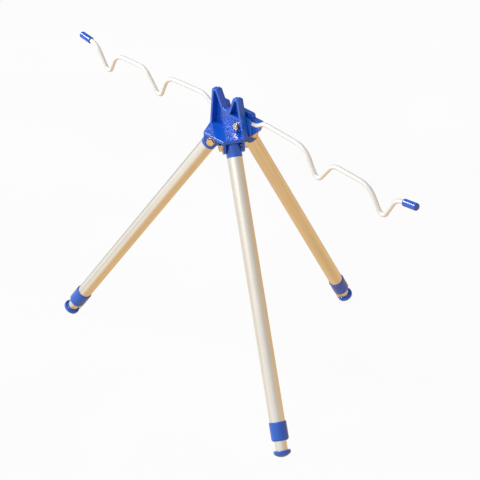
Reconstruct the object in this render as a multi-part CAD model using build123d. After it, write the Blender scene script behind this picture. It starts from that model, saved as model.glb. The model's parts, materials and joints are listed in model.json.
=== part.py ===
from build123d import *
import math
import os

# Portable fishing-rod rest: a moulded fork head on three telescopic legs, with a
# wavy wire bar clamped across its back. Millimetres. The shapes are drawn in the
# head's own frame: origin midway between the leg pivots, +X along the wire bar,
# +Y towards the back leg, +Z up the fork. At the end everything is leaned and
# lifted so that the three feet stand on the floor.

# ---- driving dimensions -------------------------------------------------------
TUBE_R = 11.0                # outer leg tube
TUBE_WALL = 1.2
INNER_R = 8.5                # sliding leg tube
INNER_WALL = 1.2
RUN = 0.05                   # radial clearance of a running fit
WIRE_R = 3.3                 # coated steel wire

PIVOT_X, PIVOT_Y = 20.0, 21.5     # front leg pivots, either side of the centre
BACK_PIVOT_Y = 22.0
FRONT_SPLAY, BACK_SPLAY = 36.5, 26.3   # leg angles from the head's own axis

# distances along a leg from its pivot
PLUG_END = 17.0              # where the outer tube starts
SPIGOT_END = 45.0
TUBE_END = 412.0
COLLAR_TOP, COLLAR_END = 396.6, 423.6
INNER_TOP, INNER_END = 110.0, 442.5
SCREW_S = 427.7
BUSH_TOP, BUSH_END = 392.0, 419.5
FOOT_TOP, FOOT_RIM, FOOT_DOME_R, FOOT_R = 437.6, 441.8, 17.0, 12.4

# head
DECK_TOP, DECK_T = 14.5, 5.0
DECK_REACH = 10.9            # deck edge beyond each pivot
EAR_GAP, EAR_T, EAR_R = 11.8, 3.7, 10.5
PLUG_R, SWING_R = 11.4, 9.1
HUB_BACKSET, HUB_HALF, HUB_BOTTOM, HUB_WALL = 13.0, 12.5, -6.0, 2.6

# fork wall, seen from the front: half widths and heights
FORK_FRONT, FORK_BACK, WEB_BACK = -14.5, -5.4, -3.2
BASE_HALF, TIP_OUT, TIP_IN, TIP_Z = 36.8, 27.6, 17.4, 74.0
NOTCH_HALF, NOTCH_Z = 5.9, 48.3
RIB, RIM_LAP, PRONG_TAPER = 4.0, 2.2, 3.2
SHELF_BOTTOM, SHELF_TOP = 40.6, 43.6       # stiffening rib over the clamp bolt
POCKET = [(19.2, 15.0), (27.5, 15.0), (27.5, 21.0), (21.8, 29.0), (19.2, 29.0)]

# wire bar and its clamp
WIRE_Y, WIRE_Z = 0.5, 35.1
DIP_R, CREST_R, SHOULDER_R = 8.0, 23.0, 30.0
JAW_FRONT, JAW_BACK, JAW_T = -2.2, 3.9, 3.2
LIP_FRONT, LIP_HALF, LIP_TOP = -4.6, 41.0, 44.0
CROWN_TOP, FIN_TOP, FIN_END = 49.4, 43.0, 60.5
SHORT_FIN = 43.0             # the left end of the saddle and jaw stops here
CAP_R, CAP_LEN, CAP_END = 5.2, 24.0, 2.0
CLAMP_X, CLAMP_Z = 12.5, 22.0

SEAT, NEST = 0.02, 0.5       # slack round the wire, and how deep each jaw takes it

# the saddle's right half and the jaw's top edge, (x, z) from the front
SADDLE_HALF = [(62.5, 60.0), (62.5, 40.3), (55.6, 33.4), (54.3, 30.1), (52.4, 27.4),
               (39.5, 15.8), (33.0, 11.0)]
CROWN_HALF = [(13.2, 42.4), (15.6, CROWN_TOP), (37.6, CROWN_TOP), (39.4, 47.6),
              (40.0, FIN_TOP), (FIN_END, FIN_TOP), (FIN_END + 2, 41.0), (FIN_END + 2, 30.0)]

# M6 hardware: half width across flats, head height, nut height, washer
M6_R, M6_AF, HEAD_H, NUT_H, WASHER_R, WASHER_T = 3.0, 5.0, 4.0, 5.0, 6.0, 1.2
SCREW_R, SCREW_AF, SCREW_HEAD = 2.0, 4.0, 3.6

# lock collar and the flange that it turns on
COLLAR_R, FLANGE_R, FLANGE_T = 12.6, 11.7, 3.0
LOOSE = 0.4                  # radial clearance of a hole that only lets a tube through
BLOCK = 100.0                # a cutting box larger than any moulding

DECK_BOTTOM = DECK_TOP - DECK_T
BORE_R = TUBE_R - TUBE_WALL
EAR_OUT = EAR_GAP + EAR_T

LEGS = {                     # plan angle, pivot, splay, side of the bolt head
    "left": (210.0, (-PIVOT_X, -PIVOT_Y, 0.0), FRONT_SPLAY, 1),
    "right": (330.0, (PIVOT_X, -PIVOT_Y, 0.0), FRONT_SPLAY, -1),
    "back": (90.0, (0.0, BACK_PIVOT_Y, 0.0), BACK_SPLAY, -1),
}


# ---- directions and helpers ---------------------------------------------------
def outward(angle):
    return Vector(math.cos(math.radians(angle)), math.sin(math.radians(angle)), 0)


def across(angle):
    return Vector(-math.sin(math.radians(angle)), math.cos(math.radians(angle)), 0)


def leg_direction(angle, splay):
    tilt = math.radians(splay)
    return outward(angle) * math.sin(tilt) - Vector(0, 0, 1) * math.cos(tilt)


def leg_plane(leg):
    """Local X along the pivot bolt, +Z down the leg, +Y on the leg's outer side."""
    angle, pivot, splay, _ = LEGS[leg]
    return Plane(origin=pivot, x_dir=across(angle), z_dir=leg_direction(angle, splay))


def turned(*profile):
    """A solid of revolution about Z from (radius, z) corners."""
    return revolve(Plane.XZ * Polygon(*profile, align=None), Axis.Z, 360)


def rod(radius, z0, z1):
    return turned((0, z0), (radius, z0), (radius, z1), (0, z1))


def ring(radius, bore, z0, z1):
    return turned((bore, z0), (radius, z0), (radius, z1), (bore, z1))


def hexagon(half_flats, z0, z1, bevel=0.5):
    """A hexagonal prism along Z with its corners turned off at the outer end."""
    corner = half_flats / math.cos(math.pi / 6)
    prism = extrude(Plane.XY.offset(z0) * RegularPolygon(corner, 6), z1 - z0)
    return prism & turned((0, z0), (corner, z0), (corner, z1 - bevel),
                          (corner - 2 * bevel, z1), (0, z1))


def upright(points, y0, y1):
    """A plate parallel to the fork wall: an (x, z) outline from y0 to y1."""
    return deepened(Polygon(*points, align=None), y0, y1)


def deepened(outline, y0, y1):
    """A front-view outline, in (x, z), made solid from y0 to y1."""
    return extrude(Plane.XZ.offset(-y0) * outline, y1 - y0, dir=(0, 1, 0))


def mirrored(points):
    """Closes a right-hand (x, z) half outline with its mirror image."""
    return points + [(-x, z) for x, z in reversed(points)]


# ---- fork head ----------------------------------------------------------------
def deck():
    """Six-sided deck whose three long edges face the legs."""
    corners = []
    for angle, pivot, _, _ in LEGS.values():
        middle = Vector(*pivot) + outward(angle) * DECK_REACH
        corners += [middle - across(angle) * EAR_OUT, middle + across(angle) * EAR_OUT]
    outline = make_hull([Edge.make_line(a, b) for a, b in zip(corners, corners[1:])])
    plate = extrude(Pos(0, 0, DECK_BOTTOM) * outline, DECK_T)
    plate = fillet(plate.edges().filter_by(Axis.Z), 2.0)
    plate = fillet(plate.faces().sort_by(Axis.Z)[-1].edges(), 1.4)
    return fillet(plate.faces().sort_by(Axis.Z)[0].edges(), 0.8)


def hub():
    """Hollow three-sided hub under the deck that joins the clevis ears."""
    def prism(backset, z0, z1):
        corners = []
        for angle, pivot, _, _ in LEGS.values():
            face = Vector(*pivot) - outward(angle) * backset
            corners += [face - across(angle) * HUB_HALF, face + across(angle) * HUB_HALF]
        outline = make_hull([Edge.make_line(a, b) for a, b in zip(corners, corners[1:])])
        return extrude(Pos(0, 0, z0) * outline, z1 - z0)
    return prism(HUB_BACKSET, HUB_BOTTOM, DECK_BOTTOM + 1) \
        - prism(HUB_BACKSET + HUB_WALL, HUB_BOTTOM - 1, DECK_BOTTOM)


def clevis(leg):
    """Two rounded ears that hold a leg's pivot bolt."""
    angle, pivot, _, _ = LEGS[leg]
    side = Plane(origin=pivot, x_dir=outward(angle), z_dir=-across(angle))
    profile = Circle(EAR_R) \
        + Pos(-2.6, DECK_BOTTOM / 2 + 0.5) * Rectangle(2 * EAR_R + 5.2, DECK_BOTTOM + 1) \
        + Pos(-10.2, 0.5) * Rectangle(8, 13)
    ears = Part()
    for near in (-EAR_OUT, EAR_GAP):
        ears += extrude(side.offset(near) * profile, EAR_T)
    return ears - side.offset(-2 * EAR_OUT) * rod(M6_R + 0.2, 0, 4 * EAR_OUT)


def fork_outline(bottom):
    """Front outline of the two prongs and the notch between them."""
    lean = (BASE_HALF - TIP_OUT) / (TIP_Z - DECK_TOP)
    foot = BASE_HALF + lean * (DECK_TOP - bottom)
    half = [(NOTCH_HALF, NOTCH_Z), (TIP_IN, TIP_Z), (TIP_OUT, TIP_Z), (foot, bottom)]
    return Polygon(*mirrored(half[::-1]), align=None)


def fork_wall():
    """Ribbed wall: a deep rim round both prongs, with a thin web behind it."""
    rim = fork_outline(DECK_TOP - 2)
    tips = [v for v in rim.vertices() if v.Y > TIP_Z - 1]
    rim = fillet(tips, 4.4)
    notch = [v for v in rim.vertices() if abs(v.X) < NOTCH_HALF + 0.1]
    rim = fillet(notch, 1.6)
    tray = offset(fork_outline(DECK_TOP - 9), -RIB)
    web = offset(fork_outline(DECK_TOP - 9), -RIM_LAP)
    above_deck = upright([(-60, DECK_TOP - 2), (60, DECK_TOP - 2), (60, 90), (-60, 90)],
                         FORK_FRONT, JAW_FRONT)
    wall = deepened(rim, FORK_FRONT, FORK_BACK)
    wall = fillet(wall.faces().sort_by(Axis.Y)[0].edges().filter_by(
        lambda e: e.center().Z > DECK_TOP), 0.7)
    wall -= deepened(tray, FORK_FRONT, FORK_BACK) & above_deck
    slant = [(FORK_BACK, NOTCH_Z), (FORK_BACK + 5, NOTCH_Z), (FORK_BACK + 5, TIP_Z + 5),
             (FORK_BACK - PRONG_TAPER, TIP_Z + 5)]
    wall -= extrude(Plane.YZ * Polygon(*slant, align=None), 80, both=True)
    wall += deepened(web, FORK_BACK, WEB_BACK) & above_deck
    # stiffening rib across the right-hand prong, over the clamp bolt
    shelf = upright([(4.0, SHELF_BOTTOM), (32.2, SHELF_BOTTOM), (31.5, SHELF_TOP), (4.0, SHELF_TOP)],
                    FORK_FRONT + 1.0, FORK_BACK)
    return wall + shelf


def wire_gap(side):
    """What the wire leaves free between the jaws: its round seat, and the whole
    space above it (side 1) or below it (side -1)."""
    (x1, z1), (x2, z2), (x3, z3) = [corner for corner, _ in wire_half()[1:4]]
    x3, z3 = x2 + (x3 - x2) / 3, z2 + (z3 - z2) / 3
    run = [(-x3, z3), (-x2, z2), (-x1, z1), (x1, z1), (x2, z2), (x3, z3)]
    path = FilletPolyline(*[Vector(x, WIRE_Y, z) for x, z in run], radius=CREST_R)
    start = Plane(origin=path @ 0, x_dir=(0, 1, 0), z_dir=path % 0)
    seat = sweep(start * Circle(WIRE_R + SEAT), path=path)
    band = sweep(start * Rectangle(60, 2 * (WIRE_R - NEST)), path=path)
    far = WIRE_Z + side * 100
    return seat + band + upright([(-x3, far)] + run + [(x3, far)], -30, 30)


def saddle():
    """Block behind the fork: cradles the wire bar from below and in front."""
    block = upright(mirrored(SADDLE_HALF), JAW_FRONT, JAW_BACK) - wire_gap(1)
    lip = upright(mirrored([(LIP_HALF, LIP_TOP), (LIP_HALF, 18.0), (34.0, 11.0)]),
                  LIP_FRONT, WIRE_Y - WIRE_R - 0.1)
    edges = lip.edges().filter_by(Axis.Z).group_by(Axis.Y)[0]
    return short_of_left(block) + chamfer(edges, 1.1)


def short_of_left(shape):
    past = upright([(-80, 0), (-SHORT_FIN, 0), (-SHORT_FIN, 80), (-80, 80)], -30, 30)
    return shape - past


def head_body():
    body = deck() + hub() + fork_wall() + saddle()
    for leg in LEGS:
        body += clevis(leg)
    # hollow beside the clamp bolt, and the bolt's own hole
    return body - upright(POCKET, FORK_BACK - 1, JAW_FRONT + 4) - clamp_hole()


# ---- wire bar and clamp -------------------------------------------------------
def wire_half():
    """Right half of the bar: (x, z) corners and the bend radius at each."""
    return [((0.0, WIRE_Z), 0), ((49.0, WIRE_Z), CREST_R), ((65.1, 44.6), CREST_R),
            ((147.1, 40.1), SHOULDER_R), ((169.7, -4.4), DIP_R), ((201.5, 35.4), CREST_R),
            ((270.5, 32.3), SHOULDER_R), ((293.8, -10.0), DIP_R), ((319.6, 33.0), CREST_R),
            ((355.0, 37.2), 0)]


def wire_path():
    right = wire_half()
    corners = [(-x, z) for (x, z), _ in reversed(right)] + [p for p, _ in right[1:]]
    bends = [r for _, r in reversed(right)][1:-1] + [r for _, r in right[1:-1]]
    points = [Vector(x, WIRE_Y, z) for x, z in corners]
    points.remove(Vector(0, WIRE_Y, WIRE_Z))
    return FilletPolyline(*points, radius=bends)


def wire_bar():
    path = wire_path()
    return sweep(Plane(origin=path @ 0, z_dir=path % 0) * Circle(WIRE_R), path=path)


def end_cap(side):
    """Soft plastic cap pushed over one end of the wire."""
    (x0, z0), (x1, z1) = wire_half()[-2][0], wire_half()[-1][0]
    along = Vector(side * (x1 - x0), 0, z1 - z0).normalized()
    seat = Plane(origin=Vector(side * x1, WIRE_Y, z1) - along * (CAP_LEN - CAP_END), z_dir=along)
    cap = turned((WIRE_R, 0), (CAP_R - 0.6, 0), (CAP_R, 0.8), (CAP_R, CAP_LEN), (0, CAP_LEN),
                 (0, CAP_LEN - CAP_END), (WIRE_R, CAP_LEN - CAP_END))
    cap = fillet(cap.edges().sort_by(Axis.Z)[-1], 2.2)
    return seat * cap


def clamp_jaw():
    """Hooked plate that bears on the wire from above and is bolted on behind."""
    back = JAW_BACK + JAW_T
    hook = upright(mirrored(CROWN_HALF)[::-1], WIRE_Y - 0.6, back) - wire_gap(-1)
    plate = upright(mirrored([(30.0, 40.0), (26.0, 20.0), (22.0, 16.0)]), JAW_BACK, back)
    return short_of_left(hook) + plate - clamp_hole()


def clamp_hole():
    return Plane.XZ.offset(20) * Pos(CLAMP_X, CLAMP_Z) * rod(M6_R + 0.2, -40, 10)


# ---- hardware -----------------------------------------------------------------
def bolt(grip):
    """Hex bolt along +Z with the underside of its head at z = 0."""
    tip = grip + NUT_H + 2.0
    shank = turned((0, 0), (M6_R, 0), (M6_R, tip - 0.8), (M6_R - 0.8, tip), (0, tip))
    return shank + Rot(180, 0, 0) * hexagon(M6_AF, 0, HEAD_H)


def pivot_hardware(leg):
    angle, pivot, _, side = LEGS[leg]
    grip = 2 * (EAR_OUT + WASHER_T)
    seat = Plane(origin=Vector(*pivot) + across(angle) * side * grip / 2,
                 x_dir=outward(angle), z_dir=-across(angle) * side)
    washers = ring(WASHER_R, M6_R, 0, WASHER_T) + ring(WASHER_R, M6_R, grip - WASHER_T, grip)
    nut = hexagon(M6_AF, grip, grip + NUT_H) - rod(M6_R, grip - 1, grip + NUT_H + 1)
    return {"pivot_bolt": seat * bolt(grip), "pivot_washers": seat * washers,
            "pivot_nut": seat * nut}


def clamp_hardware():
    grip = JAW_BACK + JAW_T - FORK_BACK
    seat = Plane(origin=(CLAMP_X, FORK_BACK, CLAMP_Z), x_dir=(1, 0, 0), z_dir=(0, 1, 0))
    washer = ring(WASHER_R, M6_R, grip, grip + WASHER_T)
    nut_top = grip + WASHER_T + NUT_H
    nut = hexagon(M6_AF, grip + WASHER_T, nut_top) - rod(M6_R, grip, nut_top + 1)
    return {"clamp_bolt": seat * bolt(grip + WASHER_T), "clamp_washer": seat * washer,
            "clamp_nut": seat * nut}


# ---- legs ---------------------------------------------------------------------
def leg_head(leg):
    """Moulded plug: pivots between the ears, and its spigot fills the tube's top.
    Its top is cut level where it meets the underside of the deck: the leg's stop."""
    plug = rod(PLUG_R, -12, PLUG_END) + rod(BORE_R, PLUG_END, SPIGOT_END)
    rims = plug.edges().filter_by(GeomType.CIRCLE).group_by(Axis.Z)[1]
    plug = fillet(rims.sort_by(SortBy.RADIUS)[-1], 0.5)
    splay = LEGS[leg][2]
    swing = rod(SWING_R, -EAR_GAP, EAR_GAP).rotate(Axis.Y, 90)
    block = Box(BLOCK, BLOCK, BLOCK)
    below = Pos(0, 0, BLOCK / 2 + 0.5) * block
    heel = Rot(splay, 0, 0) * Pos(0, BLOCK / 2, -BLOCK / 2) * block
    level = Rot(splay, 0, 0) * Pos(0, 0, BLOCK / 2 + RUN - DECK_BOTTOM) * block
    return (plug & (swing + below + heel) & level) \
        - rod(M6_R + RUN, -20, 20).rotate(Axis.Y, 90)


def end_bush():
    """Fixed bush in the tube's end; its flange carries the locking collar."""
    flange_end = TUBE_END + FLANGE_T
    return turned((INNER_R + RUN, BUSH_TOP), (BORE_R, BUSH_TOP), (BORE_R, TUBE_END),
                  (FLANGE_R, TUBE_END), (FLANGE_R, flange_end), (TUBE_R, flange_end),
                  (TUBE_R, BUSH_END), (INNER_R + RUN, BUSH_END))


def lock_collar():
    """Twist collar: turns about the tube's end and squeezes the bush."""
    bore, hole, groove = TUBE_R + RUN, INNER_R + LOOSE, FLANGE_R + RUN
    gap = 2 * RUN
    groove_top, groove_end = TUBE_END - gap, TUBE_END + FLANGE_T + gap
    return turned((bore, COLLAR_TOP), (COLLAR_R - 0.5, COLLAR_TOP),
                  (COLLAR_R, COLLAR_TOP + 0.6), (COLLAR_R, COLLAR_END - 2.6),
                  (COLLAR_R - 1.3, COLLAR_END - 0.4), (COLLAR_R - 2.0, COLLAR_END),
                  (hole, COLLAR_END), (hole, BUSH_END + gap), (bore, BUSH_END + gap),
                  (bore, groove_end), (groove, groove_end), (groove, groove_top),
                  (bore, groove_top))


def inner_guide():
    """Bush on the inner tube's top end that runs in the outer tube."""
    bore = INNER_R - INNER_WALL
    return turned((0, INNER_TOP - 6), (BORE_R - 1.0 - RUN, INNER_TOP - 6),
                  (BORE_R - RUN, INNER_TOP - 5), (BORE_R - RUN, INNER_TOP),
                  (bore, INNER_TOP), (bore, INNER_TOP + 18), (0, INNER_TOP + 18))


def foot():
    """Domed foot pushed over the inner tube's end."""
    dip = math.sqrt(FOOT_DOME_R ** 2 - FOOT_R ** 2)
    centre = FOOT_RIM - dip
    dome = Pos(0, 0, centre) * Sphere(FOOT_DOME_R) & rod(FOOT_R, FOOT_RIM, 480)
    body = rod(FOOT_R, FOOT_TOP, FOOT_RIM) + dome
    body = fillet(body.edges().filter_by(GeomType.CIRCLE).sort_by(Axis.Z)[0], 1.0)
    return body - rod(INNER_R, FOOT_TOP - 5, INNER_END)


def stop_screw():
    """Hex screw through the inner tube: keeps the tube's end out of the collar."""
    seat = Plane(origin=(0, -INNER_R, SCREW_S), x_dir=(0, 0, 1), z_dir=(0, -1, 0))
    screw = Rot(0, 0, 30) * hexagon(SCREW_AF, RUN, SCREW_HEAD, 0.4) + rod(SCREW_R, -3.0, RUN)
    return seat * screw


def leg_parts(leg):
    tube = ring(TUBE_R, BORE_R, PLUG_END, TUBE_END)
    slide = ring(INNER_R, INNER_R - INNER_WALL, INNER_TOP, INNER_END) \
        - Pos(0, -INNER_R, SCREW_S) * rod(SCREW_R, -5, 5).rotate(Axis.X, 90)
    pieces = {"leg_head": leg_head(leg), "outer_tube": tube, "end_bush": end_bush(),
              "lock_collar": lock_collar(), "inner_tube": slide, "inner_guide": inner_guide(),
              "foot": foot(), "stop_screw": stop_screw()}
    return {name: leg_plane(leg) * piece for name, piece in pieces.items()}


# ---- standing on the floor ----------------------------------------------------
def foot_centre(leg):
    angle, pivot, splay, _ = LEGS[leg]
    reach = FOOT_RIM - math.sqrt(FOOT_DOME_R ** 2 - FOOT_R ** 2)
    return Vector(*pivot) + leg_direction(angle, splay) * reach


def standing():
    """Leans the head so that all three feet touch the floor, and lifts it to z = 0."""
    front, back = foot_centre("right"), foot_centre("back")
    lean = math.degrees(math.atan2(front.Z - back.Z, back.Y - front.Y))
    turn = Rot(lean, 0, 0)
    low = (turn * Pos(back.X, back.Y, back.Z)).position
    return Pos(0, 0, FOOT_DOME_R - low.Z) * turn


def build():
    nodes = {"head_body": head_body(), "clamp_jaw": clamp_jaw(), "wire_bar": wire_bar(),
             "end_cap_left": end_cap(-1), "end_cap_right": end_cap(1)}
    nodes.update(clamp_hardware())
    for leg in LEGS:
        for name, piece in {**leg_parts(leg), **pivot_hardware(leg)}.items():
            nodes[f"{name}_{leg}"] = piece
    stand = standing()
    nodes = {name: stand * piece for name, piece in nodes.items()}
    box = Compound(children=[copy_of(piece) for piece in nodes.values()]).bounding_box()
    middle = Pos(-(box.min.X + box.max.X) / 2, -(box.min.Y + box.max.Y) / 2, 0)
    return {name: middle * piece for name, piece in nodes.items()}, middle * stand


def copy_of(piece):
    return Compound(piece.wrapped)


if __name__ == "__main__":
    os.makedirs("parts", exist_ok=True)
    for node, piece in build()[0].items():
        export_step(piece, f"parts/{node}.step")
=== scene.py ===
import json
import math
import bmesh
import bpy
from mathutils import Euler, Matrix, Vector


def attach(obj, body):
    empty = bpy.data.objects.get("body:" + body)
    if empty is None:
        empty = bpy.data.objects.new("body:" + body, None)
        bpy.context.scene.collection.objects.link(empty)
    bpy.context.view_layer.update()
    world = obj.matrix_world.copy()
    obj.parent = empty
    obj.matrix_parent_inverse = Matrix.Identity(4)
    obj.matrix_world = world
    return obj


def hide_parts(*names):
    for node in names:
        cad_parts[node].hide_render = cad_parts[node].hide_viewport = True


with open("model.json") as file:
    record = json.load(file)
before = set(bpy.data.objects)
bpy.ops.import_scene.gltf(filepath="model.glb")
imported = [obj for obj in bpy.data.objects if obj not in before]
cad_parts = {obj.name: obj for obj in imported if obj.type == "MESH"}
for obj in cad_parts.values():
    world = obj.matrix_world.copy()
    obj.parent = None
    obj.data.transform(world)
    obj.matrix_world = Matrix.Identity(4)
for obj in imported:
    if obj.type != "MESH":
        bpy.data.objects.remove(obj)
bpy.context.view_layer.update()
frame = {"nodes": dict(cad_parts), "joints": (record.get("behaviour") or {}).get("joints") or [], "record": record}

nodes = frame["nodes"]

# ---- dimensions, in metres, and colours, linear --------------------------------
CAMERA_AT = (1.59366, -1.54475, 1.44681)
CAMERA_TURN = (60.1731, -2.0891, 48.0993)      # degrees
LENS, SENSOR, VIEW_END = 125.819, 36.0, 40.0

RIGHT = (0.683, 0.730, 0.0)      # level directions as the camera sees them
NEAR = (0.730, -0.683, 0.0)
MIDDLE = Vector((0.0, -0.05, 0.25))      # what every light panel faces
FLOOR_REACH = 12.0

MOULDED_EDGE, SMALL_EDGE, STEEL_EDGE = 0.0009, 0.0005, 0.0003      # bevel widths
WELD = 0.000005                                # vertices nearer than this are one
FLAT_ANGLE, SHARP_ANGLE = math.radians(0.7), math.radians(34)

PLASTIC, PLASTIC_LIGHT = (0.003, 0.085, 0.55), (0.008, 0.115, 0.66)
CAP, CAP_LIGHT = (0.006, 0.075, 0.50), (0.012, 0.095, 0.60)
ALUMINIUM = (0.91, 0.885, 0.84)
WHITE_LOW, WHITE_HIGH = (0.76, 0.77, 0.78), (0.82, 0.83, 0.84)
BRASSY, GOLDEN, PALE = (0.78, 0.52, 0.22), (0.90, 0.72, 0.42), (0.86, 0.80, 0.62)
CREAM, STONE, DUSK = (0.95, 0.91, 0.85), (0.82, 0.80, 0.77), (0.60, 0.58, 0.55)
DEEP_BLUE, SAND = (0.07, 0.12, 0.22), (0.80, 0.53, 0.26)


# ---- camera --------------------------------------------------------------------
def camera():
    data = bpy.data.cameras.new("camera")
    data.lens, data.sensor_width = LENS, SENSOR
    data.clip_end = VIEW_END
    shot = bpy.data.objects.new("camera", data)
    shot.location = CAMERA_AT
    shot.rotation_euler = Euler([math.radians(angle) for angle in CAMERA_TURN])
    bpy.context.scene.collection.objects.link(shot)
    bpy.context.scene.camera = shot


# ---- shader helpers ------------------------------------------------------------
def new_material(name):
    material = bpy.data.materials.new(name)
    material.use_nodes = True
    tree = material.node_tree
    tree.nodes.clear()
    shader = tree.nodes.new("ShaderNodeBsdfPrincipled")
    output = tree.nodes.new("ShaderNodeOutputMaterial")
    tree.links.new(shader.outputs[0], output.inputs[0])
    return material, tree, shader


def noise(tree, scale, detail=4.0, vector=None):
    node = tree.nodes.new("ShaderNodeTexNoise")
    node.inputs["Scale"].default_value = scale
    node.inputs["Detail"].default_value = detail
    if vector is None:
        place = tree.nodes.new("ShaderNodeTexCoord")
        vector = place.outputs["Object"]
    tree.links.new(vector, node.inputs["Vector"])
    return node.outputs["Fac"]


def ramp(tree, value, *stops):
    """Colours a 0-1 value by (place, colour) stops."""
    node = tree.nodes.new("ShaderNodeValToRGB")
    elements = node.color_ramp.elements
    while len(elements) < len(stops):
        elements.new(0.5)
    for element, (place, colour) in zip(elements, stops):
        element.position = place
        element.color = (*colour, 1.0)
    tree.links.new(value, node.inputs["Fac"])
    return node.outputs["Color"]


def grey(value):
    return (value, value, value)


def bump(tree, shader, height, distance, strength=1.0, under=None):
    node = tree.nodes.new("ShaderNodeBump")
    node.inputs["Strength"].default_value = strength
    node.inputs["Distance"].default_value = distance
    tree.links.new(height, node.inputs["Height"])
    if under is not None:
        tree.links.new(under, node.inputs["Normal"])
    tree.links.new(node.outputs[0], shader.inputs["Normal"])
    return node.outputs[0]


def along(tree, direction, stretch):
    """Object coordinates turned so that Z lies along direction, and squeezed there."""
    place = tree.nodes.new("ShaderNodeTexCoord")
    turn = tree.nodes.new("ShaderNodeMapping")
    turn.inputs["Rotation"].default_value = Vector(direction).rotation_difference(
        Vector((0, 0, 1))).to_euler()
    squeeze = tree.nodes.new("ShaderNodeMapping")
    squeeze.inputs["Scale"].default_value = (1, 1, stretch)
    tree.links.new(place.outputs["Object"], turn.inputs["Vector"])
    tree.links.new(turn.outputs[0], squeeze.inputs["Vector"])
    return squeeze.outputs[0]


# ---- materials ----------------------------------------------------------------
def blue_plastic(name, base, light, roughness):
    """Glossy injection-moulded plastic: faint flow marks and a fine orange peel."""
    material, tree, shader = new_material(name)
    colour = ramp(tree, noise(tree, 38.0, 5.0), (0.32, base), (0.72, light))
    tree.links.new(colour, shader.inputs["Base Color"])
    sheen = ramp(tree, noise(tree, 90.0), (0.3, grey(roughness - 0.04)),
                 (0.8, grey(roughness + 0.08)))
    tree.links.new(sheen, shader.inputs["Roughness"])
    shader.inputs["IOR"].default_value = 1.5
    shader.inputs["Specular IOR Level"].default_value = 0.6
    shader.inputs["Coat Weight"].default_value = 0.3
    shader.inputs["Coat Roughness"].default_value = 0.14
    peel = bump(tree, shader, noise(tree, 420.0, 2.0), 0.0001, 0.12)
    bump(tree, shader, noise(tree, 60.0, 3.0), 0.0008, 0.08, peel)
    return material


def drawn_aluminium(name, direction, base, roughness):
    """Satin tube: fine draw lines and soft bands along its length, a little mottling."""
    material, tree, shader = new_material(name)
    lines = noise(tree, 900.0, 3.0, along(tree, direction, 0.012))
    bands = noise(tree, 150.0, 2.0, along(tree, direction, 0.01))
    cloud = noise(tree, 26.0, 3.0)
    dark = tuple(c * 0.84 for c in base)
    streaks = ramp(tree, bands, (0.36, dark), (0.6, base))
    patches = ramp(tree, cloud, (0.3, grey(0.95)), (0.7, grey(1.0)))
    mixed = tree.nodes.new("ShaderNodeMix")
    mixed.data_type, mixed.blend_type = "RGBA", "MULTIPLY"
    mixed.inputs[0].default_value = 1.0
    tree.links.new(streaks, mixed.inputs[6])
    tree.links.new(patches, mixed.inputs[7])
    tree.links.new(mixed.outputs[2], shader.inputs["Base Color"])
    shader.inputs["Metallic"].default_value = 1.0
    rough = ramp(tree, lines, (0.3, grey(roughness - 0.05)),
                 (0.7, grey(roughness + 0.07)))
    tree.links.new(rough, shader.inputs["Roughness"])
    bump(tree, shader, lines, 0.0001, 0.15)
    return material


def white_coating():
    """Dipped white coating on the wire: smooth, slightly uneven in thickness."""
    material, tree, shader = new_material("white_coating")
    colour = ramp(tree, noise(tree, 30.0, 3.0), (0.3, WHITE_LOW), (0.7, WHITE_HIGH))
    tree.links.new(colour, shader.inputs["Base Color"])
    rough = ramp(tree, noise(tree, 160.0), (0.3, grey(0.22)), (0.7, grey(0.34)))
    tree.links.new(rough, shader.inputs["Roughness"])
    shader.inputs["Coat Weight"].default_value = 0.3
    bump(tree, shader, noise(tree, 110.0, 2.0), 0.0006, 0.15)
    return material


def yellow_zinc():
    """Yellow-passivated zinc plate: brassy, with pale drifts and fine pits."""
    material, tree, shader = new_material("yellow_zinc")
    colour = ramp(tree, noise(tree, 140.0, 3.0), (0.25, BRASSY), (0.55, GOLDEN), (0.8, PALE))
    tree.links.new(colour, shader.inputs["Base Color"])
    shader.inputs["Metallic"].default_value = 1.0
    rough = ramp(tree, noise(tree, 500.0), (0.3, grey(0.2)), (0.8, grey(0.38)))
    tree.links.new(rough, shader.inputs["Roughness"])
    bump(tree, shader, noise(tree, 1500.0, 3.0), 0.0001, 0.4)
    return material


def black_nylon():
    """Dull black nylon of the bushes and guides."""
    material, tree, shader = new_material("black_nylon")
    colour = ramp(tree, noise(tree, 120.0), (0.3, grey(0.018)), (0.8, grey(0.035)))
    tree.links.new(colour, shader.inputs["Base Color"])
    rough = ramp(tree, noise(tree, 300.0), (0.3, grey(0.45)), (0.8, grey(0.6)))
    tree.links.new(rough, shader.inputs["Roughness"])
    bump(tree, shader, noise(tree, 800.0), 0.0001, 0.3)
    return material


# ---- pieces --------------------------------------------------------------------
BODY_OF = {node: body for body, held in frame["record"]["behaviour"]["bodies"].items()
           for node in held}


def dress(node, material):
    """Gives a CAD node that keeps its own mesh its material."""
    thing = nodes[node]
    thing.data.materials.clear()
    thing.data.materials.append(material)


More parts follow.
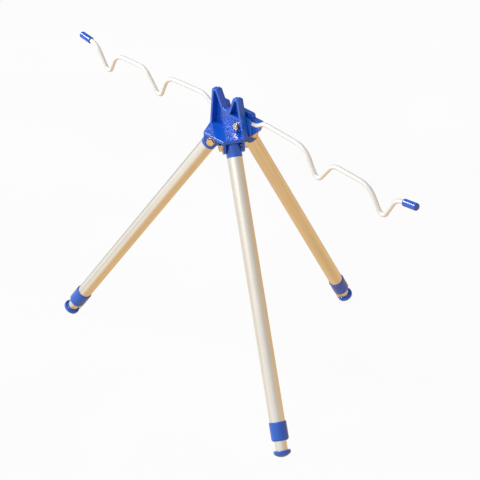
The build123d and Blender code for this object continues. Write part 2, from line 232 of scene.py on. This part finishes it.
def softened(node, material, edge):
    """Stands for a CAD node: the same piece with its moulded or rolled edges rounded."""
    source = nodes[node]
    mesh = source.data.copy()
    shape = bmesh.new()
    shape.from_mesh(mesh)
    bmesh.ops.remove_doubles(shape, verts=shape.verts, dist=WELD)
    bmesh.ops.dissolve_limit(shape, angle_limit=FLAT_ANGLE, verts=shape.verts,
                             edges=shape.edges)
    shape.to_mesh(mesh)
    shape.free()
    mesh.materials.clear()
    mesh.materials.append(material)
    mesh.polygons.foreach_set("use_smooth", [True] * len(mesh.polygons))
    piece = bpy.data.objects.new(node + "_finished", mesh)
    piece.matrix_world = source.matrix_world
    bpy.context.scene.collection.objects.link(piece)
    round_off = piece.modifiers.new("edges", "BEVEL")
    round_off.width, round_off.segments = edge, 3
    round_off.limit_method, round_off.angle_limit = "ANGLE", SHARP_ANGLE
    round_off.use_clamp_overlap = True
    normals = piece.modifiers.new("normals", "WEIGHTED_NORMAL")
    normals.keep_sharp = False
    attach(piece, BODY_OF[node])
    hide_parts(node)


def dress_all():
    plastic = blue_plastic("blue_plastic", PLASTIC, PLASTIC_LIGHT, 0.25)
    caps = blue_plastic("blue_cap", CAP, CAP_LIGHT, 0.2)
    wire, zinc, nylon = white_coating(), yellow_zinc(), black_nylon()
    slides = {joint["child"]: joint["axis"] for joint in frame["joints"]
              if joint["type"] == "slide"}
    for name in nodes:
        slide = slides.get("extension_" + name.rsplit("_", 1)[-1])
        if name.startswith(("head_body", "clamp_jaw")):
            softened(name, plastic, MOULDED_EDGE)
        elif name.startswith(("leg_head", "lock_collar", "foot")):
            softened(name, plastic, SMALL_EDGE)
        elif name.startswith("end_cap"):
            softened(name, caps, SMALL_EDGE)
        elif name.startswith("wire_bar"):
            dress(name, wire)
        elif name.startswith(("end_bush", "inner_guide")):
            dress(name, nylon)
        elif name.startswith("outer_tube"):
            dress(name, drawn_aluminium(name, slide, ALUMINIUM, 0.34))
        elif name.startswith("inner_tube"):
            dress(name, drawn_aluminium(name, slide, ALUMINIUM, 0.24))
        else:
            softened(name, zinc, STEEL_EDGE)


# ---- light and floor -----------------------------------------------------------
def panel(name, left, near, up, size, power, colour=(1, 1, 1)):
    """A square light facing the stand, placed by metres left, near and up of its middle."""
    data = bpy.data.lights.new(name, "AREA")
    data.shape, data.size, data.size_y = "RECTANGLE", size, size
    data.energy, data.color = power, colour
    lamp = bpy.data.objects.new(name, data)
    lamp.location = MIDDLE - left * Vector(RIGHT) + near * Vector(NEAR) + Vector((0, 0, up))
    lamp.visible_camera = False
    lamp.rotation_euler = (MIDDLE - lamp.location).to_track_quat("-Z", "Y").to_euler()
    bpy.context.scene.collection.objects.link(lamp)


def towards(tree, place, direction, low, high):
    """0 to 1 as the room's direction turns towards the given one."""
    dot = tree.nodes.new("ShaderNodeVectorMath")
    dot.operation = "DOT_PRODUCT"
    dot.inputs[1].default_value = direction
    tree.links.new(place, dot.inputs[0])
    spread = tree.nodes.new("ShaderNodeMapRange")
    spread.inputs["From Min"].default_value = low
    spread.inputs["From Max"].default_value = high
    tree.links.new(dot.outputs["Value"], spread.inputs["Value"])
    return spread.outputs[0]


def over(tree, colour, factor, under):
    """Lays a colour over another where the factor says."""
    blend = tree.nodes.new("ShaderNodeMix")
    blend.data_type = "RGBA"
    blend.inputs[7].default_value = (*colour, 1)
    tree.links.new(factor, blend.inputs[0])
    tree.links.new(under, blend.inputs[6])
    return blend.outputs[2]


def sky(world):
    """A room by direction: bright left, grey right, dark blue far and up, warm from below."""
    tree = world.node_tree
    place = tree.nodes.new("ShaderNodeTexCoord").outputs["Generated"]
    far = Vector((0, 0, 0.6)) - Vector(NEAR) * 0.8
    below = Vector(RIGHT) * 0.5 - Vector((0, 0, 0.8))
    sides = ramp(tree, towards(tree, place, RIGHT, -0.6, 0.45),
                 (0.0, CREAM), (0.45, STONE), (1.0, DUSK))
    dim = over(tree, DEEP_BLUE, towards(tree, place, far, 0.35, 0.85), sides)
    room = over(tree, SAND, towards(tree, place, below, -0.05, 0.5), dim)
    tree.links.new(room, tree.nodes["Background"].inputs["Color"])


def studio():
    """The room, three light panels, and a pale floor that only the camera sees."""
    world = bpy.data.worlds.new("studio")
    bpy.context.scene.world = world
    world.use_nodes = True
    sky(world)
    panel("key", 1.8, -0.3, 1.4, 0.45, 28, (1.0, 0.99, 0.97))
    panel("front", 1.2, 1.2, 1.5, 0.7, 8)
    panel("rim", 0.2, -2.0, 2.3, 0.9, 4)
    material, tree, shader = new_material("floor")
    shader.inputs["Base Color"].default_value = (0.02, 0.02, 0.02, 1)
    colour = ramp(tree, noise(tree, 3.0), (0.3, grey(0.95)), (0.7, grey(0.965)))
    tree.links.new(colour, shader.inputs["Emission Color"])
    shader.inputs["Roughness"].default_value = 0.9
    shader.inputs["Specular IOR Level"].default_value = 0.0
    shader.inputs["Emission Strength"].default_value = 1.0
    mesh = bpy.data.meshes.new("floor")
    corners = [(-1, -1), (1, -1), (1, 1), (-1, 1)]
    mesh.from_pydata([(x * FLOOR_REACH, y * FLOOR_REACH, 0) for x, y in corners], [],
                     [(0, 1, 2, 3)])
    mesh.materials.append(material)
    floor = bpy.data.objects.new("floor", mesh)
    floor.visible_glossy = floor.visible_diffuse = floor.visible_shadow = False
    bpy.context.scene.collection.objects.link(floor)
    bpy.context.scene.view_settings.view_transform = "Standard"


camera()
studio()
dress_all()
